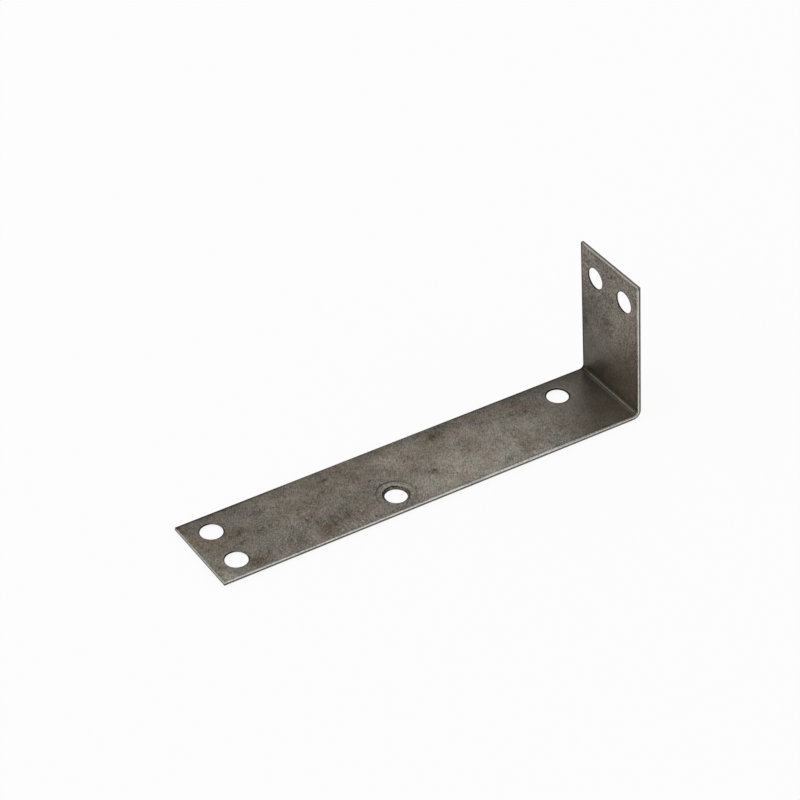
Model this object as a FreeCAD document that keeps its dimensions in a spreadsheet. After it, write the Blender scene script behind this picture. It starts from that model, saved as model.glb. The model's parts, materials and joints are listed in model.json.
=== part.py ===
# Angle bracket folded from one strip of raw sheet steel, in millimetres.
#
# The origin is the heel: the point at mid-width where the undersides of the two
# legs would meet if the fold were sharp. +X runs along the long leg, +Y across
# the strip, and +Z up. The short leg stands up from the heel and leans a few
# degrees inwards, over the long leg. The strip was sheared to size, punched from
# its inner side, pressed down around one hole to seat a screw head, and folded.

import FreeCAD, Part
import math
import os

import Sketcher

# Driving dimensions: the alias of each sheet cell, its value and what it is.
SIZES = [
    ("width", 30.0, "width of the strip"),
    ("thickness", 1.0, "thickness of the sheet"),
    ("long_leg", 150.0, "heel to the free end of the long leg"),
    ("short_leg", 51.0, "heel to the top of the short leg, along its outer face"),
    ("inside_angle", 86.2, "degrees between the two legs"),
    ("bend_radius", 1.5, "radius on the inside of the fold"),
    ("plain_hole", 7.1, "diameter of a plain screw hole"),
    ("hole_roll", 0.3, "rounding that the punch leaves around a plain hole"),
    ("edge_roll", 0.2, "rounding that the shears leave along the strip's outline"),
    ("pair_spacing", 15.0, "centre to centre of two holes side by side"),
    ("end_margin", 8.4, "free end to the centres of the end pair"),
    ("top_margin", 9.9, "top of the short leg to the centres of its pair"),
    ("fold_hole_reach", 16.55, "heel to the lone plain hole near the fold"),
    ("fold_hole_margin", 7.95, "the strip's edge at -Y to that hole"),
    ("seat_reach", 85.7, "heel to the pressed screw seat"),
    ("seat_margin", 8.1, "the strip's edge at +Y to the seat"),
    ("seat_diameter", 12.5, "diameter of the ring where the seat starts"),
    ("seat_step", 0.2, "drop of the short slope inside that ring"),
    ("seat_fall", 0.15, "further drop of the seat's floor to the rim of its hole"),
    ("seat_rim", 8.2, "diameter of the rim of the seat's hole"),
    ("seat_taper", 0.45, "height of the tapered mouth below that rim"),
    ("seat_hole", 7.1, "clear diameter of the seat's hole"),
    ("seat_blend", 0.1, "rounding of the seat's ring and of its foot underneath"),
]

DOCUMENT = "angle_bracket"
NODE = "angle_bracket"
STEP_FOLDER = "parts"

X_AXIS = FreeCAD.Vector(1, 0, 0)

# Sketch shorthand: the root point, and which point of a line, arc or circle.
ROOT = (-1, 1)
START = 1
END = 2
CENTRE = 3

# Largest gap, in millimetres or as a cosine's shortfall, that still counts as none.
TINY = 1e-6


def make_sheet(doc):
    """Put each driving dimension in a cell, with its alias and what it measures."""
    sheet = doc.addObject("Spreadsheet::Sheet", "sizes")
    for row, (alias, value, meaning) in enumerate(SIZES, start=1):
        sheet.set(f"A{row}", alias)
        sheet.set(f"B{row}", str(value))
        sheet.set(f"C{row}", meaning)
        sheet.setAlias(f"B{row}", alias)
    doc.recompute()
    return sheet


def origin_plane(body, role):
    """One of the body's own origin planes."""
    return next(item for item in body.Origin.OriginFeatures if item.Role == role)


def new_sketch(body, name, role):
    """An empty sketch on one of the body's origin planes."""
    sketch = body.newObject("Sketcher::SketchObject", name)
    sketch.AttachmentSupport = [(origin_plane(body, role), "")]
    sketch.MapMode = "FlatFace"
    return sketch


def bind(sketch, constraint, name, expression):
    """Add a constraint, name it, and let an expression on the sheet drive it."""
    index = sketch.addConstraint(constraint)
    sketch.renameConstraint(index, name)
    sketch.setExpression(f"Constraints.{name}", expression)


def locate(sketch, point, name, across, up):
    """Fix a point of a sketch by its two signed distances from the root.

    Each distance is a pair: its value now, and the expression that drives it.
    """
    bind(sketch, Sketcher.Constraint("DistanceX", *ROOT, *point, across[0]), f"{name}_x", across[1])
    bind(sketch, Sketcher.Constraint("DistanceY", *ROOT, *point, up[0]), f"{name}_y", up[1])


def draw_profile(body, sheet):
    """The bracket seen from the side: two legs of one thickness, joined by a round fold."""
    angle = math.radians(sheet.inside_angle)
    along = FreeCAD.Vector(math.cos(angle), math.sin(angle), 0)
    inward = FreeCAD.Vector(math.sin(angle), -math.cos(angle), 0)
    outer_radius = sheet.bend_radius + sheet.thickness

    # The fold's centre lies one outer radius from both outer faces.
    tangent_length = outer_radius / math.tan(angle / 2)
    centre = FreeCAD.Vector(tangent_length, outer_radius, 0)
    outer_start = along * tangent_length
    inner_start = outer_start + inward * sheet.thickness
    top_outer = along * sheet.short_leg
    top_inner = top_outer + inward * sheet.thickness
    underside_start = FreeCAD.Vector(tangent_length, 0, 0)
    upper_start = FreeCAD.Vector(tangent_length, sheet.thickness, 0)
    end_under = FreeCAD.Vector(sheet.long_leg, 0, 0)
    end_upper = FreeCAD.Vector(sheet.long_leg, sheet.thickness, 0)

    def fold_arc(radius):
        circle = Part.Circle(centre, FreeCAD.Vector(0, 0, 1), radius)
        return Part.ArcOfCircle(circle, math.pi / 2 + angle, 3 * math.pi / 2)

    sketch = new_sketch(body, "profile", "XZ_Plane")
    underside = sketch.addGeometry(Part.LineSegment(end_under, underside_start))
    outer_fold = sketch.addGeometry(fold_arc(outer_radius))
    outer_face = sketch.addGeometry(Part.LineSegment(outer_start, top_outer))
    top = sketch.addGeometry(Part.LineSegment(top_outer, top_inner))
    inner_face = sketch.addGeometry(Part.LineSegment(top_inner, inner_start))
    inner_fold = sketch.addGeometry(fold_arc(sheet.bend_radius))
    upper_face = sketch.addGeometry(Part.LineSegment(upper_start, end_upper))
    free_end = sketch.addGeometry(Part.LineSegment(end_upper, end_under))

    sketch.addConstraint([
        Sketcher.Constraint("Tangent", underside, END, outer_fold, END),
        Sketcher.Constraint("Tangent", outer_fold, START, outer_face, START),
        Sketcher.Constraint("Coincident", outer_face, END, top, START),
        Sketcher.Constraint("Coincident", top, END, inner_face, START),
        Sketcher.Constraint("Tangent", inner_face, END, inner_fold, START),
        Sketcher.Constraint("Tangent", inner_fold, END, upper_face, START),
        Sketcher.Constraint("Coincident", upper_face, END, free_end, START),
        Sketcher.Constraint("Coincident", free_end, END, underside, START),
        Sketcher.Constraint("Coincident", outer_fold, CENTRE, inner_fold, CENTRE),
        Sketcher.Constraint("PointOnObject", underside, START, -1),
        Sketcher.Constraint("Horizontal", underside),
        Sketcher.Constraint("Horizontal", upper_face),
        Sketcher.Constraint("Vertical", free_end),
        Sketcher.Constraint("PointOnObject", *ROOT, outer_face),
        Sketcher.Constraint("Perpendicular", outer_face, top),
    ])
    bind(sketch, Sketcher.Constraint("DistanceX", *ROOT, underside, START, sheet.long_leg),
         "long_leg", "sizes.long_leg")
    bind(sketch, Sketcher.Constraint("Distance", *ROOT, outer_face, END, sheet.short_leg),
         "short_leg", "sizes.short_leg")
    bind(sketch, Sketcher.Constraint("Angle", outer_face, angle),
         "inside_angle", "sizes.inside_angle * 1 deg")
    bind(sketch, Sketcher.Constraint("Radius", inner_fold, sheet.bend_radius),
         "bend_radius", "sizes.bend_radius")
    bind(sketch, Sketcher.Constraint("Distance", free_end, sheet.thickness),
         "thickness", "sizes.thickness")
    bind(sketch, Sketcher.Constraint("Distance", top, sheet.thickness),
         "leg_thickness", "sizes.thickness")
    return sketch


def pad_strip(body, profile):
    """Carry the profile across the whole width, half to each side of the origin."""
    pad = body.newObject("PartDesign::Pad", "strip")
    pad.Profile = profile
    pad.SideType = "Symmetric"
    pad.setExpression("Length", "sizes.width")
    return pad


def draw_outline(sketch, name, corners):
    """A closed outline of straight sides, each corner fixed from the root.

    A corner is its two signed distances from the root, each a value and an expression.
    """
    points = [FreeCAD.Vector(across[0], up[0], 0) for across, up in corners]
    sides = []
    for start, end in zip(points, points[1:] + points[:1]):
        sides.append(sketch.addGeometry(Part.LineSegment(start, end)))
    for side, following in zip(sides, sides[1:] + sides[:1]):
        sketch.addConstraint(Sketcher.Constraint("Coincident", side, END, following, START))
    for index, (side, (across, up)) in enumerate(zip(sides, corners)):
        locate(sketch, (side, START), f"{name}_{index}", across, up)


def draw_seat_section(body, sheet, name, corners):
    """A section through one half of the seat, drawn from the axis of its hole."""
    sketch = new_sketch(body, name, "XZ_Plane")
    sketch.setExpression(".AttachmentOffset.Base.x", "sizes.seat_reach")
    sketch.setExpression(".AttachmentOffset.Base.z", "sizes.seat_margin - sizes.width / 2")
    draw_outline(sketch, name, [
        tuple((sheet.evalExpression(text), text) for text in corner) for corner in corners
    ])
    return sketch


def press_seat(body, sheet):
    """Press the seat: a shallow bulge below the sheet, then the hollow and hole above it.

    The ring starts the hollow with a short slope, the floor falls gently to the rim
    of the hole, and a tapered mouth leads down to the clear hole. The underside
    follows the hollow one sheet thickness lower.
    """
    ring = "sizes.seat_diameter / 2"
    floor = "sizes.seat_diameter / 2 - sizes.seat_step"
    rim = "sizes.seat_rim / 2"
    clear = "sizes.seat_hole / 2"
    step = "sizes.seat_step"
    drop = "(sizes.seat_step + sizes.seat_fall)"

    # The bulge steps down nearer the axis than the ring, so that the slope keeps its wall.
    bulge_foot = f"{floor}"
    bulge_edge = f"{floor} - {step}"
    bulge = draw_seat_section(body, sheet, "bulge_section", [
        ("0", "sizes.thickness / 2"),
        (bulge_foot, "sizes.thickness / 2"),
        (bulge_foot, "0"),
        (bulge_edge, f"-{step}"),
        (rim, f"-{drop}"),
        ("0", f"-{drop}"),
    ])
    added = body.newObject("PartDesign::Revolution", "seat_bulge")
    added.Profile = bulge
    added.ReferenceAxis = (bulge, ["V_Axis"])
    added.Angle = 360

    above = "sizes.thickness * 2"
    below = f"-{drop} - sizes.thickness"
    hollow = draw_seat_section(body, sheet, "hollow_section", [
        ("0", above),
        (ring, above),
        (ring, "sizes.thickness"),
        (floor, f"sizes.thickness - {step}"),
        (rim, f"sizes.thickness - {drop}"),
        (clear, f"sizes.thickness - {drop} - sizes.seat_taper"),
        (clear, below),
        ("0", below),
    ])
    removed = body.newObject("PartDesign::Groove", "seat_hollow")
    removed.Profile = hollow
    removed.ReferenceAxis = (hollow, ["V_Axis"])
    removed.Angle = 360
    return added, removed


def punch(body, sheet, name, role, holes, lean=False):
    """Punch plain holes through one leg.

    A hole is its centre, as two signed distances from the root given as expressions.
    The punch is three sheets long, centred on the leg's outer face, so that it
    clears the sheet and stops well short of the other leg.
    """
    sketch = new_sketch(body, f"{name}_centres", role)
    if lean:
        turn = FreeCAD.Rotation(X_AXIS, 90 - sheet.inside_angle)
        sketch.AttachmentOffset = FreeCAD.Placement(FreeCAD.Vector(), turn)
        sketch.setExpression(".AttachmentOffset.Rotation.Angle", "90 deg - sizes.inside_angle * 1 deg")
    for index, (across, up) in enumerate(holes):
        centre = FreeCAD.Vector(sheet.evalExpression(across), sheet.evalExpression(up), 0)
        circle = Part.Circle(centre, FreeCAD.Vector(0, 0, 1), sheet.plain_hole / 2)
        hole = sketch.addGeometry(circle)
        bind(sketch, Sketcher.Constraint("Diameter", hole, sheet.plain_hole),
             f"diameter_{index}", "sizes.plain_hole")
        locate(sketch, (hole, CENTRE), f"centre_{index}", (centre.x, across), (centre.y, up))
    pocket = body.newObject("PartDesign::Pocket", name)
    pocket.Profile = sketch
    pocket.SideType = "Symmetric"
    pocket.setExpression("Length", "sizes.thickness * 3")
    return pocket


def is_inner_side(face, sheet):
    """Whether a face is on the inner side of the sheet: on a leg, or inside the fold."""
    surface = face.Surface
    if isinstance(surface, Part.Cylinder):
        return abs(surface.Radius - sheet.bend_radius) < TINY and abs(surface.Axis.y) > 1 - TINY
    if not isinstance(surface, Part.Plane):
        return False
    angle = math.radians(sheet.inside_angle)
    normals = [FreeCAD.Vector(0, 0, 1), FreeCAD.Vector(math.sin(angle), 0, -math.cos(angle))]
    normal = face.normalAt(0, 0)
    on_skin = abs(surface.Position.dot(normal) - sheet.thickness) < TINY
    return on_skin and any(normal.dot(expected) > 1 - TINY for expected in normals)


def edge_names(shape, wanted):
    """The names that a shape gives to some of its edges."""
    return [
        f"Edge{index}" for index, edge in enumerate(shape.Edges, start=1)
        if any(edge.isSame(other) for other in wanted)
    ]


def strip_outline(shape, sheet):
    """The edges around the inner side of the sheet: those on just one of its faces."""
    faces = [face for face in shape.Faces if is_inner_side(face, sheet)]
    edges = [edge for face in faces for edge in face.OuterWire.Edges]
    return [edge for edge in edges if sum(edge.isSame(other) for other in edges) == 1]


def hole_mouths(shape, sheet, diameter):
    """The round edges of one diameter on the inner side of the sheet."""
    faces = [face for face in shape.Faces if is_inner_side(face, sheet)]
    edges = [edge for face in faces for edge in face.Edges if edge.isClosed()]
    return [edge for edge in edges if abs(edge.Curve.Radius * 2 - diameter) < TINY]


def seat_foot(shape, sheet):
    """The round edge where the bulge leaves the underside of the long leg."""
    foot_radius = sheet.seat_diameter / 2 - sheet.seat_step
    return [
        edge for edge in shape.Edges
        if edge.isClosed()
        and abs(edge.Curve.Radius - foot_radius) < TINY
        and abs(edge.CenterOfMass.z) < TINY
    ]


def round_edges(body, base, name, edges, radius):
    """Round some edges of the last feature by one named size."""
    if not edges:
        raise RuntimeError(f"{name} found no edge to round")
    fillet = body.newObject("PartDesign::Fillet", name)
    fillet.Base = (base, edge_names(base.Shape, edges))
    fillet.setExpression("Radius", f"sizes.{radius}")
    return fillet


def check_step(doc, before, feature, grows):
    """Recompute, and make sure that a feature changed the volume the right way."""
    doc.recompute()
    change = feature.Shape.Volume - before
    if change == 0 or (change > 0) != grows:
        raise RuntimeError(f"{feature.Name} changed the volume by {change:.4f} mm3")
    print(f"{feature.Name}: volume {feature.Shape.Volume:.2f} mm3, change {change:+.3f}")
    return feature.Shape.Volume


def build_bracket(doc, sheet):
    """The whole bracket: strip, screw seat, punched holes, rounded edges."""
    body = doc.addObject("PartDesign::Body", NODE)
    body.Label = NODE
    doc.recompute()

    strip = pad_strip(body, draw_profile(body, sheet))
    volume = check_step(doc, 0, strip, grows=True)

    bulge, hollow = press_seat(body, sheet)
    doc.recompute()
    volume = check_step(doc, volume, bulge, grows=True)
    volume = check_step(doc, volume, hollow, grows=False)

    near = "sizes.pair_spacing / 2"
    far = f"-{near}"
    end_station = "sizes.long_leg - sizes.end_margin"
    long_holes = punch(body, sheet, "long_leg_holes", "XY_Plane", [
        (end_station, far),
        (end_station, near),
        ("sizes.fold_hole_reach", "sizes.fold_hole_margin - sizes.width / 2"),
    ])
    volume = check_step(doc, volume, long_holes, grows=False)

    pair_height = "sizes.short_leg - sizes.top_margin"
    short_holes = punch(body, sheet, "short_leg_holes", "YZ_Plane", [
        (far, pair_height),
        (near, pair_height),
    ], lean=True)
    volume = check_step(doc, volume, short_holes, grows=False)

    mouths = hole_mouths(short_holes.Shape, sheet, sheet.plain_hole)
    rolled_holes = round_edges(body, short_holes, "punched_edges", mouths, "hole_roll")
    volume = check_step(doc, volume, rolled_holes, grows=False)

    ring = hole_mouths(rolled_holes.Shape, sheet, sheet.seat_diameter)
    ring += seat_foot(rolled_holes.Shape, sheet)
    blended = round_edges(body, rolled_holes, "seat_edges", ring, "seat_blend")
    doc.recompute()

    outline = strip_outline(blended.Shape, sheet)
    sheared = round_edges(body, blended, "sheared_edges", outline, "edge_roll")
    check_step(doc, blended.Shape.Volume, sheared, grows=False)
    return body


def check_document(doc):
    """Stop if any object of the document failed to compute."""
    for item in doc.Objects:
        if "Invalid" in item.State or "Error" in item.State:
            raise RuntimeError(f"{item.Name} is {item.State}")


def export(body):
    """Write the bracket's solid, if it is whole, to a file named after its label."""
    shape = body.Shape
    if shape.isNull() or not shape.isValid() or len(shape.Solids) != 1:
        raise RuntimeError(f"{body.Label} isn't one valid solid")
    os.makedirs(STEP_FOLDER, exist_ok=True)
    shape.exportStep(os.path.join(STEP_FOLDER, f"{body.Label}.step"))
    box = shape.BoundBox
    print(f"{body.Label}: {shape.Volume:.2f} mm3, X {box.XMin:.3f} to {box.XMax:.3f}, "
          f"Y {box.YMin:.3f} to {box.YMax:.3f}, Z {box.ZMin:.3f} to {box.ZMax:.3f}")


def main():
    doc = FreeCAD.newDocument(DOCUMENT)
    sheet = make_sheet(doc)
    body = build_bracket(doc, sheet)
    check_document(doc)
    export(body)


main()
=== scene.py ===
"""Angle bracket of raw sheet steel: its finished surface and the studio around it.

Every place on the sheet is given on the flat strip, before its fold, in three sheet coordinates:
reach runs along the strip, and on the long leg it is the distance from the heel, so that it falls
below zero up the short leg; across runs over the width; up goes through the sheet, from 0 on its
outer face to its thickness on the inner one. The fold is a formula that bends the strip in space.
"""

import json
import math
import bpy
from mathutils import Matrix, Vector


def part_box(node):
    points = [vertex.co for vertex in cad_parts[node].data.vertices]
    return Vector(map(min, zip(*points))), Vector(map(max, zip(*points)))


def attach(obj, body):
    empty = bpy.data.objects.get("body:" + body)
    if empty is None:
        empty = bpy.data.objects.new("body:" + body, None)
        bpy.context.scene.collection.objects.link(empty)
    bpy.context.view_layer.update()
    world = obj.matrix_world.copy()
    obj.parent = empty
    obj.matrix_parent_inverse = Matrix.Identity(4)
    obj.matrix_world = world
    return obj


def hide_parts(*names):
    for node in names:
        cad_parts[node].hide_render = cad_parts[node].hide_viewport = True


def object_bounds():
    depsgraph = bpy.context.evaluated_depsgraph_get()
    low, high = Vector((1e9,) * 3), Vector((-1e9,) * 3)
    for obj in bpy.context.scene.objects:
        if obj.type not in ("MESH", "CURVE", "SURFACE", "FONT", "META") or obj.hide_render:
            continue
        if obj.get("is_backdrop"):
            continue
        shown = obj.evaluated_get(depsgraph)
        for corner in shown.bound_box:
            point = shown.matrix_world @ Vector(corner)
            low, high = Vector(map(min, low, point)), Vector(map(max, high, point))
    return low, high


bl_info = {
    "name": "Angle Bracket",
    "version": (1, 0, 0),
    "blender": (4, 5, 0),
    "location": "3D View > Sidebar > Bracket",
    "description": "Builds a folded steel angle bracket and a plain studio for it",
    "category": "Object",
}

from typing import NamedTuple

import bmesh
import bpy
import numpy as np
from bpy.props import FloatProperty, FloatVectorProperty, PointerProperty
from mathutils import Matrix, Vector

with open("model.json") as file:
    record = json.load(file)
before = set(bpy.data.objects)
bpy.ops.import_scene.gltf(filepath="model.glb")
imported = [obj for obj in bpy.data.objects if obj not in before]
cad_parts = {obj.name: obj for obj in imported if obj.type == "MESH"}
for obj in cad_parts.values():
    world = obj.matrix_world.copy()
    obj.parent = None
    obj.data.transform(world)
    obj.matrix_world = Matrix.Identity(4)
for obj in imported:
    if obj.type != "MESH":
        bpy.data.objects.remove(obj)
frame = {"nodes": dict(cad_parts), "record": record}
cad_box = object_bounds()

MM = 0.001
NODE = "angle_bracket"
BODY = "root"
SLOT = "raw_steel"
MOUNTS = {mount["name"]: mount for mount in frame["record"]["mounts"]}
PLAIN_HOLES = ("end_hole_far", "end_hole_near", "fold_hole", "top_hole_far", "top_hole_near")

# Cells of the mesh: over each hole's square and along a quarter turn of an edge's rounding.
SQUARE_CELLS = 24
ROLL_CELLS = 4

# Vertices closer than this are one, and edges that turn by more than this stay sharp.
MERGE_DISTANCE = 0.002 * MM
SHARP_ANGLE = math.radians(40)

# The outer face repeats the inner face's patches this far along the strip.
OUTER_SHIFT_MM = 9


def length_property(name, default, description, low=0):
    """A length in metres that can be changed."""
    return FloatProperty(
        name=name, description=description, default=default, min=low,
        subtype="DISTANCE", unit="LENGTH")


class BracketSizes(bpy.types.PropertyGroup):
    """Sizes of the sheet's folds and edges that the frame doesn't state."""

    fold_radius: length_property(
        "Fold radius", 1.5 * MM, "Radius on the inside of the fold", 0.2 * MM)
    edge_roll: length_property(
        "Edge roll", 0.2 * MM, "Rounding that the shears leave around the inner face", 0.02 * MM)
    hole_roll: length_property(
        "Hole roll", 0.3 * MM, "Rounding that the punch leaves around a hole", 0.02 * MM)
    tear: length_property(
        "Tear", 0.06 * MM, "How far the torn part of a cut slopes in below the burnish")
    worn_corner: length_property(
        "Worn corner", 1.1 * MM, "Rounding of the short leg's near corner on its inner face")
    fold_squeeze: length_property(
        "Fold squeeze", 0.08 * MM, "How far the strip's edges draw in outside the fold")


def colour_property(name, default, description):
    """A colour that can be changed, as a linear red, green and blue."""
    return FloatVectorProperty(
        name=name, description=description, default=default, size=3, subtype="COLOR", min=0, max=1)


class BracketFinish(bpy.types.PropertyGroup):
    """Colours and gloss of the raw steel."""

    cool_grey: colour_property("Cool grey", (0.168, 0.154, 0.137), "Bare rolled steel")
    warm_grey: colour_property(
        "Warm grey", (0.152, 0.131, 0.107), "Steel under a thin film of old oil")
    # Also painted onto the face along its near edge as a painted highlight.
    bright_cut: colour_property(
        "Bright cut", (0.70, 0.68, 0.64), "Metal burnished by the shears and punches")
    torn_cut: colour_property(
        "Torn cut", (0.115, 0.104, 0.086), "Rough metal in the lower part of a cut")
    # Painted reflection: the walls of the plain holes are made this near white so that they show
    # white.
    gleam: colour_property(
        "Gleam", (0.97, 0.965, 0.955), "Punched wall of a plain hole, polished by the tool")
    mouth: colour_property(
        "Mouth", (0.125, 0.103, 0.08), "Browned metal in the tapered mouth of the seat")
    # Also darkens the fold and the cut outline, where it is partly painted shade.
    grime: colour_property(
        "Grime", (0.36, 0.31, 0.25), "Share of the light that old grease lets through")
    # Also used for painted shade: the bottom of the fold, the far edge's rounding and parts of the
    # rims of the holes and the seat.
    grease: colour_property(
        "Grease", (0.13, 0.11, 0.09), "Share of the light that thick black grease lets through")
    rust: colour_property(
        "Rust", (1.0, 0.72, 0.42), "Share of the light that a rust stain lets through")
    mottling: FloatProperty(
        name="Mottling", description="How much the steel's brightness varies at each scale",
        default=0.5, min=0, max=2, subtype="FACTOR")
    gloss: FloatProperty(
        name="Roughness", description="Roughness of the sheet's faces",
        default=0.45, min=0, max=1, subtype="FACTOR")


class BracketStudio(bpy.types.PropertyGroup):
    """Camera, lamps and background."""

    azimuth: FloatProperty(
        name="Azimuth", description="Camera's bearing from the aim point, from +X towards +Y",
        default=math.radians(57.62), subtype="ANGLE", unit="ROTATION")
    elevation: FloatProperty(
        name="Elevation", description="Camera's height above the horizon, seen from the aim point",
        default=math.radians(37.38), subtype="ANGLE", unit="ROTATION")
    distance: length_property("Distance", 905 * MM, "Camera to the aim point")
    aim: FloatVectorProperty(
        name="Aim", description="Point at the middle of the picture",
        default=(57.77 * MM, -34.97 * MM, -1.84 * MM), size=3, subtype="XYZ", unit="LENGTH")
    lens: FloatProperty(
        name="Lens", description="Focal length in millimetres, on a 36 mm sensor", default=128.5)
    ambient: FloatProperty(
        name="Ambient", description="Strength of the white surroundings as light",
        default=0.8, min=0)
    lift: FloatProperty(
        name="Lift", description="Share of plain white in the floor where it is seen",
        default=0.9, min=0, max=1, subtype="FACTOR")
    key: FloatProperty(
        name="Key lamp", description="Power of the large soft lamp",
        default=1.2, min=0, unit="POWER")


def stacked(*columns):
    """Arrays side by side, as the last axis of one."""
    return np.stack(columns, axis=-1)


class Sheet:
    """The strip as the frame gives it, with the formula of its fold. Lengths are in metres."""

    def __init__(self, sizes):
        low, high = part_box(NODE)
        points = np.empty(len(frame["nodes"][NODE].data.vertices) * 3)
        frame["nodes"][NODE].data.vertices.foreach_get("co", points)
        points = points.reshape(-1, 3)
        outer_half = points[points[:, 0] > (low.x + high.x) / 2]
        self.thickness = float(outer_half[:, 2].max())
        self.half_width = (high.y - low.y) / 2
        self.sizes = sizes

        # The short leg's outward normal gives the angle through which the strip turns.
        leg_normal = MOUNTS["short_leg_face"]["axis"]
        self.turn = math.atan2(-leg_normal[0], -leg_normal[2])
        self.outer_radius = sizes.fold_radius + self.thickness
        self.tangent = self.outer_radius * math.tan(self.turn / 2)
        self.neutral = sizes.fold_radius + self.thickness / 2
        self.fold_end = self.tangent - self.turn * self.neutral
        self.free_end = high.x
        self.top_height = high.z / math.sin(self.turn)
        self.top_end = self.reach_up(self.top_height)

    def reach_up(self, height):
        """Reach of a place on the short leg, from its height above the heel along that leg."""
        return self.fold_end + self.tangent - height

    def fold(self, points):
        """Sheet coordinates, in rows, bent into space.

        Up to the tangent point the strip lies flat. Past it, it turns about the fold's centre in
        step with its length on the neutral line, and after the whole turn it runs on straight.
        """
        reach, across, up = points.T
        turned = np.clip((self.tangent - reach) / self.neutral, 0, self.turn)
        before = np.maximum(reach - self.tangent, 0)
        after = np.maximum(self.fold_end - reach, 0)
        radius = self.outer_radius - up
        x = self.tangent + before - radius * np.sin(turned) - after * math.cos(self.turn)
        z = self.outer_radius - radius * np.cos(turned) + after * math.sin(self.turn)
        return stacked(x, across, z)

    def hole(self, name):
        """Where a hole is, as reach and across, and its radius, from its mount in the record."""
        mount = MOUNTS[name]
        x, across, z = mount["pos_m"]
        if mount["axis"][2] > 0.5:
            reach = x
        else:
            reach = self.reach_up(-x * math.cos(self.turn) + z * math.sin(self.turn))
        return reach, across, mount["dims"]["r_mm"] * MM


def ease(values, start, end):
    """0 up to start and 1 past end, with the smooth cubic 3t^2 - 2t^3 between."""
    share = np.clip((values - start) / (end - start), 0, 1)
    return share * share * (3 - 2 * share)


def soften(corners, reach, steps=4):
    """A section's corners, each inner one turned into a short parabola.

    The parabola starts reach before the corner and ends reach after it: its point at t is
    (1-t)^2 start + 2t(1-t) corner + t^2 end.
    """
    corners = np.array(corners, float)
    share = np.linspace(0, 1, steps + 1)[:, None]
    line = [corners[:1]]
    for before, corner, after in zip(corners, corners[1:], corners[2:]):
        lengths = [np.linalg.norm(side - corner) for side in (before, after)]
        start, end = (
            corner + (side - corner) * min(reach / length, 0.5)
            for side, length in zip((before, after), lengths)
        )
        line.append((1 - share) ** 2 * start + 2 * share * (1 - share) * corner + share**2 * end)
    line.append(corners[-1:])
    return np.concatenate(line)


class Hole:
    """One hole: its place, the square of mesh that it takes, and its section.

    The section runs from the inner face, down the wall and out along the outer face, as pairs of
    a radius and a height in the sheet.
    """

    square = 5.5 * MM
    torn = 0.42

    def __init__(self, sheet, name):
        self.reach, self.across, self.radius = sheet.hole(name)
        self.thickness = sheet.thickness
        self.sizes = sheet.sizes
        self.rim = self.radius + self.sizes.hole_roll

    def section(self):
        """A punched hole: rolled in at the inner face, burnished, then torn a little wider."""
        top, sizes = self.thickness, self.sizes
        quarter = np.linspace(0, math.pi / 2, ROLL_CELLS + 1)
        roll = stacked(
            self.rim - sizes.hole_roll * np.sin(quarter),
            top - sizes.hole_roll * (1 - np.cos(quarter)),
        )
        wall = [(self.radius, height * top) for height in (self.torn + 0.14, self.torn)]
        torn = [
            (self.radius + sizes.tear * share, self.torn * top * (1 - share)) for share in (0.5, 1)
        ]
        return np.concatenate([
            [(self.rim + margin, top) for margin in (0.6 * MM, 0.3 * MM, 0.1 * MM)],
            roll, wall, torn,
            [(self.radius + sizes.tear + margin, 0) for margin in (0.1 * MM, 0.3 * MM, 0.8 * MM)],
        ])


class Seat(Hole):
    """The hole with a pressed seat for a screw head."""

    square = 7 * MM
    ring = 6.25 * MM
    step = 0.2 * MM
    fall = 0.15 * MM
    mouth = 4.1 * MM
    taper = 0.45 * MM
    upper_bend = 0.09 * MM
    lower_bend = 0.05 * MM

    def __init__(self, sheet, name):
        super().__init__(sheet, name)
        self.rim = self.mouth

    def section(self):
        """A ring, a slope, a floor that falls to the rim, a tapered mouth and a clear hole."""
        top = self.thickness
        drop = self.step + self.fall
        floor = self.ring - self.step
        inner = soften([
            (self.ring + 0.35 * MM, top), (self.ring, top), (floor, top - self.step),
            ((floor + self.mouth) / 2, top - self.step - self.fall / 2),
            (self.mouth, top - drop), (self.radius, top - drop - self.taper),
        ], self.upper_bend)
        lower = soften([
            (self.radius, top - drop - self.taper - 0.2 * MM), (self.radius, -drop),
            (self.mouth, -drop), (floor - self.step, -self.step), (floor, 0), (floor + 0.5 * MM, 0),
        ], self.lower_bend)
        return np.concatenate([inner, lower])


def square_ring(cells):
    """Places around a square of half side 1, from a corner on, and an even angle for each."""
    side = np.linspace(-1, 1, cells + 1)[:-1]
    edge = np.ones(cells)
    places = np.concatenate([
        stacked(side, -edge), stacked(edge, side),
        stacked(-side, edge), stacked(-edge, -side),
    ])
    angles = -0.75 * math.pi + np.arange(4 * cells) * 2 * math.pi / (4 * cells)
    return places, angles


def hole_grid(hole):
    """The hole's section carried around its centre, in rows that widen from circle to square.

    A row's place is (1 - b) circle + b square, where b grows from 0 at the section's end to 1.
    """
    places, angles = square_ring(SQUARE_CELLS)
    section = hole.section()
    circle = stacked(np.cos(angles), np.sin(angles))
    blend = np.concatenate([[1, 2 / 3, 1 / 3], np.zeros(len(section)), [1 / 3, 2 / 3, 1]])
    radius = np.pad(section[:, 0], 3, mode="edge")[:, None, None]
    up = np.pad(section[:, 1], 3, mode="edge")[:, None, None]
    blend = blend[:, None, None]
    flat = (1 - blend) * radius * circle + blend * hole.square * places
    flat = flat + np.array([hole.reach, hole.across])
    return np.concatenate([flat, np.broadcast_to(up, flat.shape[:2] + (1,))], axis=-1)


def graded(knots, cells):
    """Places between the knots, evenly spaced within each stretch by its number of cells."""
    index = np.concatenate([[0], np.cumsum(cells)])
    return np.interp(np.arange(index[-1] + 1), index, knots)


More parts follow.
